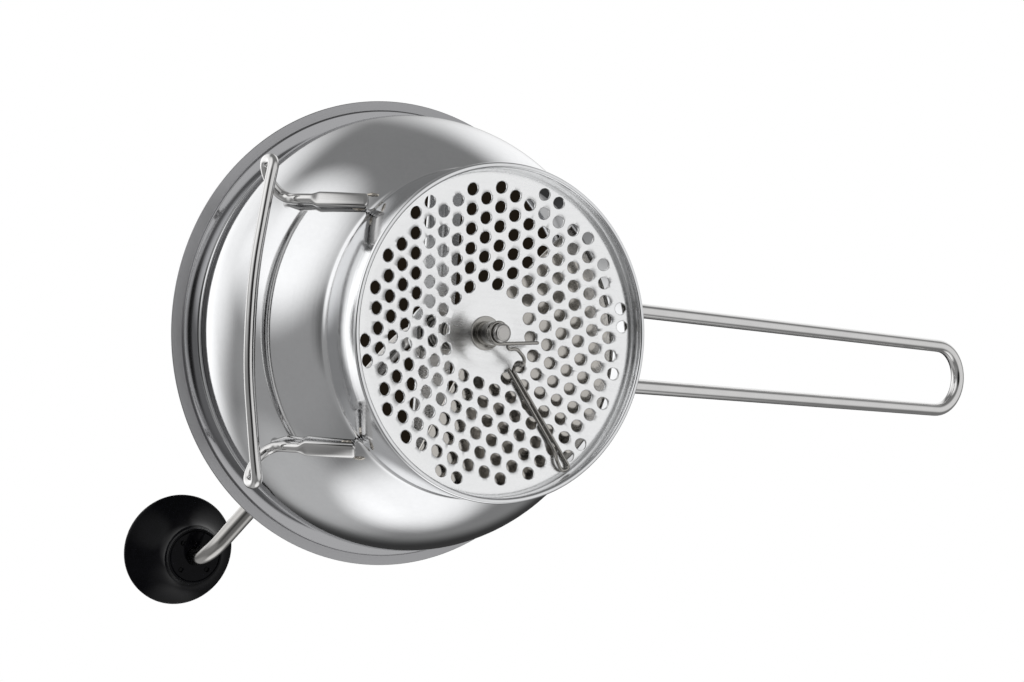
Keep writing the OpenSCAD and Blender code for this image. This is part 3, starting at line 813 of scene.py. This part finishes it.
mill_bridge()
mill_bush()
for lug in ("bridge_lug_left", "bridge_lug_right"):
    keep_node(lug, SHEET_STEEL, 0.5, 3, 40)


# ---- crank ---------------------------------------------------------------------

LOW_BEND, TOP_BEND = 16.0, 20.0
arm_half = math.radians((90 - ARM_RISE) / 2)
ARM_Z = KNOB_Z - TOP_BEND * math.tan(arm_half) - CRANK_REACH * math.tan(math.radians(ARM_RISE))
LOW_Z = ARM_Z - LOW_BEND * math.tan(arm_half)


def mill_rod():
    """The bent rod: stations of height and radius up the stem, the bends and the knob's end."""
    low, high, edge = WIPER_LOW, WIPER_HIGH, ROD_R - 0.05
    stem = [(5.5, 2.9), (5.62, 3.45), (5.8, 3.8), (6.1, 4.2), (6.5, 4.47), (6.62, ROD_R),
            (low - 0.1, ROD_R), (low - 0.02, edge), (low + 0.02, GROOVE_R),
            (high - 0.02, GROOVE_R), (high + 0.02, edge), (high + 0.1, ROD_R)]
    stem += [(z, ROD_R) for z in np.linspace(13, 72, 30)]
    low, high, edge = STOP_Z, STOP_Z + RETAINER_T, ROD_R - 0.02
    stem += [(low - 0.2, ROD_R), (low - 0.06, edge), (low - 0.03, GROOVE_R),
             (high + 0.03, GROOVE_R), (high + 0.06, edge), (high + 0.3, ROD_R)]
    bend = (arc((LOW_BEND, LOW_Z), LOW_BEND, 180, 90 + ARM_RISE, 36)
            + arc((CRANK_REACH - TOP_BEND, KNOB_Z), TOP_BEND, ARM_RISE - 90, 0, 36))
    gap = np.linspace(bend[36], bend[37], 40)[1:-1]
    bend = bend[:37] + [tuple(p) for p in gap] + bend[37:]
    low, high = CLIP_Z, CLIP_Z + RETAINER_T
    top = [(175, ROD_R), (185, ROD_R), (low - 0.1, ROD_R), (low - 0.03, GROOVE_R),
           (high + 0.03, GROOVE_R), (high + 0.1, ROD_R),
           (192.9, ROD_R), (193.3, 4.3), (193.8, 3.8), (194, 3.5)]
    route = [(0, z) for z, w in stem] + bend + [(CRANK_REACH, z) for z, w in top]
    widths = [w for z, w in stem] + [ROD_R] * len(bend) + [w for z, w in top]
    c, s = math.cos(math.radians(CRANK_TURN)), math.sin(math.radians(CRANK_TURN))
    points = [(x * c, x * s, z) for x, z in route]
    tube("crank_arm", points, widths, widths, ROD, "crank", ["crank_rod"], sides=64,
         ups=[(-s, c, 0)] * len(points), cap=0.05, sharp=32)


def mill_pin():
    """The cross pin, chamfered at both ends."""
    half, r = PIN_HALF, PIN_R
    c, s = math.cos(math.radians(CRANK_TURN)), math.sin(math.radians(CRANK_TURN))
    t = [-half, -half + 0.15, -half + 0.5, 0, half - 0.5, half - 0.15, half]
    route = [(-s * v, c * v, PIN_Z) for v in t]
    widths = [r - 0.35, r - 0.15, r, r, r, r - 0.15, r - 0.35]
    tube("pin_shaft", route, widths, widths, THIN, "crank", ["drive_pin"], sides=40,
         ups=[(0, 0, 1)] * len(t), cap=0.1)


mill_rod()
mill_pin()
ring("stop_ring", ROD_R + 3.2, GROOVE_R, STOP_Z, RETAINER_T, TURNED, "crank", ["retaining_ring"])
ring("washer_upper", WASHER_R, ROD_R + 0.2, SPRING_HIGH + 0.05, WASHER_T, TURNED, "crank",
     ["spring_upper_washer"])
ring("washer_lower", WASHER_R, ROD_R + RUN_GAP, HUB_TOP, WASHER_T, TURNED, "rotor",
     ["spring_lower_washer"])
ring("sleeve_tube", ROD_R + 0.95, ROD_R + RUN_GAP, SLEEVE_LOW, HUB_Z - 0.95 - SLEEVE_LOW, TURNED,
     "crank", ["scraper_sleeve"])


# ---- spring, hub and blade -----------------------------------------------------

def mill_spring():
    """The coil with closed ends, stretched between crank and rotor."""
    low, high, wire_d, turns = SPRING_LOW, SPRING_HIGH, SPRING_WIRE, SPRING_TURNS
    closed = wire_d + 0.15
    free = (high - low - wire_d - 2 * closed) / (turns - 2)

    def height(t):
        return (low + wire_d / 2 + min(t, 1) * closed + max(0, min(t, turns - 1) - 1) * free
                + max(0, t - turns + 1) * closed)

    route = []
    for t in np.linspace(0, turns, turns * 72 + 1):
        a = 2 * math.pi * t
        route.append((SPRING_COIL_R * math.cos(a), SPRING_COIL_R * math.sin(a), height(t)))
    spring = tube("coil_spring", route, wire_d / 2, wire_d / 2, THIN, "crank",
                  ["compression_spring"], ups=[(0, 0, 1)] * len(route), sides=20, cap=0.4)
    world = spring.matrix_world.copy()
    spring.parent = None
    spring.matrix_world = world
    del spring["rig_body"]
    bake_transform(spring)


# The blade, in degrees from its trailing edge: first a short ramp, then level up to FLAT
TRAIL, SPAN, FLAT, RAMP, RAMP_SPAN, BLADE_RISE, BLADE_T = 124.0, 175.0, 50.0, 3.2, 40.0, 12.0, 1.5


def mill_blade():
    """A plate that is low at its trailing edge, runs level and sweeps up to its leading edge."""
    def height(r, t):
        u, v = min(1.0, t * SPAN / RAMP_SPAN), max(0.0, (t * SPAN - FLAT) / (SPAN - FLAT))
        return (disc_under(r) + DISC_T + 0.4 + RAMP * u * u * (3 - 2 * u)
                + BLADE_RISE * v * v * (3 - 2 * v))

    radii = np.concatenate([[8.4, 10.5], np.linspace(12, 71, 40), [71.8, 72.0]])
    ts = np.linspace(0, 1, 140)
    nr = len(radii)
    verts = []
    for top in (0, 1):
        for t in ts:
            a = math.radians(TRAIL - t * SPAN)
            for r in radii:
                thick = BLADE_T * (0.25 if r > 71.9 else 1.0)
                z = height(r, t) + (BLADE_T - thick) / 2 + top * thick
                verts.append((r * math.cos(a), r * math.sin(a), z))
    layer = len(ts) * nr

    def at(top, i, j):
        return top * layer + i * nr + j

    faces = []
    last = len(ts) - 1
    for i in range(last):
        for j in range(nr - 1):
            for top in (0, 1):
                faces.append([at(top, i, j), at(top, i + 1, j),
                              at(top, i + 1, j + 1), at(top, i, j + 1)])
        for j in (0, nr - 1):
            faces.append([at(0, i, j), at(0, i + 1, j), at(1, i + 1, j), at(1, i, j)])
    for j in range(nr - 1):
        for i in (0, last):
            faces.append([at(0, i, j), at(1, i, j), at(1, i, j + 1), at(0, i, j + 1)])
    blade = make("blade_plate", verts, faces, BLADE, "rotor", ["rotor_blade"], 40)
    soften(blade, 0.4, 2, 60)


mill_spring()
mill_blade()
keep_node("rotor_hub", TURNED, 0.3, 2, 50)


# ---- scraper -------------------------------------------------------------------

def mill_scraper():
    """One spring wire: a ring in the rod's groove, a finger tab and a doubled arm."""
    r, steps, sweep, leave, drop = WIPER_R, 104, 468, 31.0, 1.85
    ring_r, ring_z = GROOVE_R + r + 0.1, WIPER_HIGH - r - 0.1
    loop = []
    for i in range(steps + 1):
        a = math.radians(leave + sweep * (1 - i / steps))
        loop.append((ring_r * math.cos(a), ring_r * math.sin(a), ring_z - drop * i / steps))
    arm_in, arm_out = disc_under(21) - r - 0.45, DISC_Z - r - 0.95
    rest = rounded([
        (*loop[-1], 0), (13.4, -16.7, 9, 0.9), (13.4, -16.7, 11, 0.9), (6.8, -2.5, 11, 1.5),
        (9.5, -1.9, 11, 1.5), (10.9, -6.1, 11, 2), (18.2, -8.5, 11, 3.5), (19.6, -5.6, 11, 1.5),
        (18.4, -4.2, (11 + arm_in) / 2, 1.4), (21.4, -3.8, arm_in, 1.4), (72.4, -3.9, arm_out, 2),
        (72, 0.5, arm_out, 2), (67.2, 1, arm_out, 2.5),
        (62, -1.5, arm_out + 0.2 * (arm_in - arm_out), 2.5), (19.6, -1.7, arm_in, 0)], 14)
    route = turned(evened(loop[:-1] + rest, 0.3), WIPER_TURN)
    tube("scraper_spring", route, r, r, THIN, "crank", ["scraper_wire"], sides=20, cap=0.5)


mill_scraper()


# ---- knob ----------------------------------------------------------------------

knob_at = (CRANK_REACH * math.cos(math.radians(CRANK_TURN)),
           CRANK_REACH * math.sin(math.radians(CRANK_TURN)))


def mill_knob():
    """The flared shell with its dimples, and the domed cap that closes it."""
    bore, seat, fit_r, pocket_z = ROD_R + RUN_GAP, KNOB_H - 2.2, KNOB_R - 3.2, KNOB_Z + 17.2
    pocket_r, bottom, top = 9.2, KNOB_Z + 0.15, KNOB_Z + KNOB_H

    def flare(t):
        return FOOT_R + (KNOB_R - FOOT_R) * t ** 2.3

    foot = eased([(bore, bottom, 0.3), (FOOT_R - 1.7, bottom, 0.1),
                  (FOOT_R - 1.35, KNOB_Z + 0.55, 0.12), (FOOT_R - 1.05, bottom, 0.15),
                  (FOOT_R - 0.1, bottom, 0.35), (flare(0.04), KNOB_Z + 1.4, 0.2)], 0.2, 4)
    side = [(flare(t), KNOB_Z + 0.4 + (KNOB_H - 1.2) * t) for t in np.linspace(0.06, 0.985, 60)]
    rim = [(KNOB_R - 0.12, top - 0.75), (KNOB_R, top - 0.5),
           (KNOB_R - 0.02, top - 0.2), (KNOB_R - 0.25, top)]
    inside = [(fit_r, top), (fit_r, KNOB_Z + seat), (pocket_r, KNOB_Z + seat),
              (pocket_r, pocket_z), (bore, pocket_z)]
    shell = lathe("knob_body", foot + side + rim + inside, PLASTIC, "knob", ["knob_shell"],
                  256, 38, knob_at)

    verts, faces, m, dimple_at = [], [], 40, 9.8
    turns = [2 * math.pi * k / m for k in range(m)]
    section = [(0.02, -1.5), (1.75, -1.5), (1.45, 0.1), (1.1, 0.4), (1.05, 1.5), (0.02, 1.62)]
    for degrees in (45, 135, 225, 315):
        x = knob_at[0] + dimple_at * math.cos(math.radians(degrees))
        y = knob_at[1] + dimple_at * math.sin(math.radians(degrees))
        base = len(verts)
        last = base + (len(section) - 1) * m
        for r, h in section:
            verts += [(x + r * math.cos(a), y + r * math.sin(a), bottom + h) for a in turns]
        for low in range(base, last, m):
            for k in range(m):
                j = (k + 1) % m
                faces.append([low + k, low + j, low + m + j, low + m + k])
        faces.append([base + k for k in range(m)][::-1])
        faces.append([last + k for k in range(m)])
    cut(shell, plain("dimple_cutters", verts, faces), 38)

    dome_z, dome = top + 0.8, 4.6
    crown = []
    for degrees in np.linspace(0, 90, 40):
        a = math.radians(degrees)
        crown.append((KNOB_R * math.cos(a) - (0.15 if degrees < 4 else 0),
                      dome_z + dome * math.sin(a)))
    crown[-1] = (0.0, dome_z + dome)
    cap = [(0.0, KNOB_Z + seat + 0.1), (fit_r - 0.05, KNOB_Z + seat + 0.1),
           (fit_r - 0.05, top + 0.05), (KNOB_R - 0.3, top + 0.05), (KNOB_R - 0.05, top + 0.3)]
    lathe("knob_crown", cap + crown, PLASTIC, "knob", ["knob_cap"], 256, 38, knob_at)


mill_knob()
ring("knob_thrust", 8.6, ROD_R + 0.3, KNOB_Z + 17.25, 1.0, TURNED, "knob", ["knob_washer"],
     knob_at)
ring("knob_stop", 7.6, GROOVE_R, CLIP_Z, RETAINER_T, TURNED, "crank", ["knob_clip"], knob_at)


# ---- studio --------------------------------------------------------------------

def node_adder(tree):
    """Empties a tree; gives a function that adds a node and sets or links its inputs."""
    tree.nodes.clear()

    def add(kind, inputs=(), **settings):
        n = tree.nodes.new(kind)
        for key, value in settings.items():
            setattr(n, key, value)
        for key, value in dict(inputs).items():
            if isinstance(value, bpy.types.NodeSocket):
                tree.links.new(value, n.inputs[key])
            else:
                n.inputs[key].default_value = value
        return n

    return add


def studio():
    """A white room seen by the camera; the metal sees soft light panels and darker gaps."""
    world = bpy.data.worlds.new("studio")
    scene.world = world
    world.use_nodes = True
    add = node_adder(world.node_tree)

    def dot(vector, other):
        product = add("ShaderNodeVectorMath", {0: vector, 1: other}, operation="DOT_PRODUCT")
        return product.outputs["Value"]

    def calc(operation, a, b=0.0):
        return add("ShaderNodeMath", {0: a, 1: b}, operation=operation).outputs[0]

    def step(value, start, end, low=0.0, high=1.0):
        return add("ShaderNodeMapRange", {"Value": value, "From Min": start, "From Max": end,
                                          "To Min": low, "To Max": high},
                   interpolation_type="SMOOTHSTEP").outputs[0]

    look = add("ShaderNodeTexCoord").outputs["Generated"]

    def patch(lon, lat, inner, outer, strength):
        a, b = math.radians(lon), math.radians(lat)
        facing = (math.cos(a) * math.cos(b), math.sin(a) * math.cos(b), math.sin(b))
        start, end = math.cos(math.radians(outer)), math.cos(math.radians(inner))
        return step(dot(look, facing), start, end, 0.0, strength)

    level = AMBIENT
    for panel in PANELS:
        level = calc("ADD", patch(*panel), level)
    for lon, lat, inner, outer, depth in GAPS:
        kept = calc("SUBTRACT", 1.0, patch(lon, lat, inner, outer, depth))
        level = calc("MULTIPLY", kept, level)
    panel = add("ShaderNodeBackground", {"Color": level})
    white = add("ShaderNodeBackground", {"Color": (1, 1, 1, 1), "Strength": 1.0})
    camera_ray = add("ShaderNodeLightPath").outputs["Is Camera Ray"]
    mix = add("ShaderNodeMixShader", {0: camera_ray, 1: panel.outputs[0], 2: white.outputs[0]})
    add("ShaderNodeOutputWorld", {"Surface": mix.outputs[0]})


# Soft panels of light round the object: direction round the axis and above level in degrees,
# the angles where each is full and where it ends, and its strength. The gaps are dark cards.
AMBIENT = 0.25
PANELS = [
    (-146, -2, 12, 44, 1.05),
    (-150, 64, 16, 46, 0.95),
    (-32, 24, 8, 40, 0.95),
    (78, -8, 6, 36, 1.05),
    (108, 22, 10, 38, 0.30),
    (170, 78, 10, 34, 0.35),
    (-5, -62, 26, 52, 0.70),
    (165, -8, 26, 52, 0.10),
]
GAPS = [
    (36, 58, 16, 38, 0.84),
    (176, -58, 10, 28, 0.9),
]


def mouth_shade_card():
    """A card of painted shade over the bowl's mouth: seen only from below through the disc's
    holes, it makes the bowl's inside look dark there.
    """
    r, z, sides = 0.113, 0.1105, 64
    turns = [2 * math.pi * k / sides for k in range(sides)]
    mesh = bpy.data.meshes.new("mouth_shade_card")
    mesh.from_pydata([(r * math.cos(a), -r * math.sin(a), z) for a in turns], [],
                     [list(range(sides))])
    card = bpy.data.objects.new("mouth_shade_card", mesh)
    scene.collection.objects.link(card)
    paint = bpy.data.materials.new("card_painted_shade")
    paint.use_nodes = True
    add = node_adder(paint.node_tree)
    camera_ray = add("ShaderNodeLightPath").outputs["Is Camera Ray"]
    behind = add("ShaderNodeNewGeometry").outputs["Backfacing"]
    front = add("ShaderNodeMath", {0: camera_ray, 1: behind}, operation="SUBTRACT",
                use_clamp=True)
    clear = add("ShaderNodeBsdfTransparent")
    # Painted shade: a near-black glow that stands for the dark inside of the bowl
    dark = add("ShaderNodeEmission", {"Color": (0.012, 0.009, 0.006, 1)})
    mix = add("ShaderNodeMixShader",
              {0: front.outputs[0], 1: clear.outputs[0], 2: dark.outputs[0]})
    add("ShaderNodeOutputMaterial", {"Surface": mix.outputs[0]})
    mesh.materials.append(paint)


def pale_floor():
    """A wide floor far below, which the metal doesn't mirror."""
    half, z = 40, -1.6
    mesh = bpy.data.meshes.new("floor")
    mesh.from_pydata([(-half, -half, z), (half, -half, z), (half, half, z), (-half, half, z)], [],
                     [[0, 1, 2, 3]])
    floor = bpy.data.objects.new("floor", mesh)
    scene.collection.objects.link(floor)
    paint = Paint("floor_pale", (0.9, 0.9, 0.9), 0.0, 0.7)
    paint.tint(paint.noise(paint.place, 3.0), 0.98)
    mesh.materials.append(paint.mat)
    floor.visible_glossy = False


def photo_camera():
    """The photo's viewpoint, found by fitting the rim and the lip."""
    right = Vector((0.8416, -0.0699, -0.5356))
    up = Vector((-0.0802, -0.9968, 0.0040))
    back = Vector((-0.5342, 0.0396, -0.8445))
    data = bpy.data.cameras.new("camera")
    data.lens, data.sensor_width = 45.70, 36.0
    data.clip_start, data.clip_end = 0.01, 100.0
    camera = bpy.data.objects.new("camera", data)
    scene.collection.objects.link(camera)
    turn = Matrix((right, up, back)).transposed().to_4x4()
    camera.matrix_world = Matrix.Translation((-0.3109, 0.0266, -0.4934)) @ turn
    scene.camera = camera


studio()
mouth_shade_card()
pale_floor()
photo_camera()
scene.view_settings.view_transform = "Standard"
